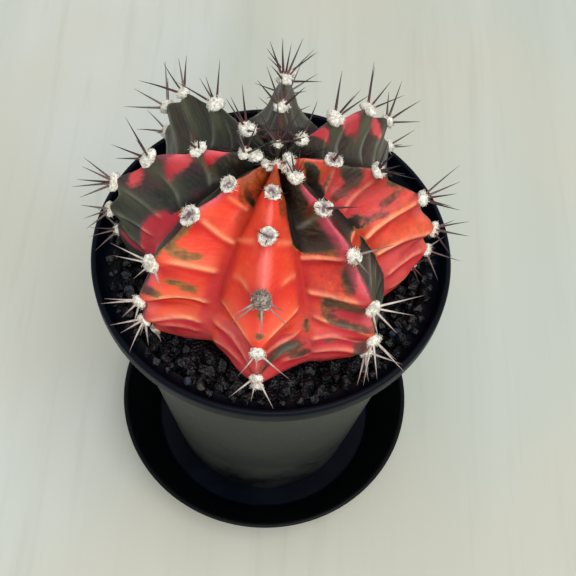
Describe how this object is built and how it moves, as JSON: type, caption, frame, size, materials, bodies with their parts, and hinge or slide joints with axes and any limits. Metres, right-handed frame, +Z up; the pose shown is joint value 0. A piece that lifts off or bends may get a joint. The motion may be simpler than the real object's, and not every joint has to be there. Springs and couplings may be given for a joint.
{
  "type": "potted moon cactus",
  "caption": "Low ribbed red and green cactus with woolly areoles and spines, on black grit in a tapered black pot that stands on a saucer.",
  "frame": {"origin": "middle of the saucer's flat underside, on the surface the object stands on", "axes": "+Z up along the pot's axis; the rib with the dried flower faces -Y"},
  "size_m": [0.0922, 0.091, 0.1495],
  "materials": {
    "saucer_plastic": "satin",
    "pot_plastic": "satin",
    "potting_mix": "matte",
    "lava_grit": "satin",
    "cactus_flesh": "satin"
  },
  "bodies": {
    "root": {"saucer": "saucer_plastic", "pot": "pot_plastic", "potting_mix": "potting_mix", "grit": "lava_grit", "cactus": "cactus_flesh"}
  },
  "joints": []
}
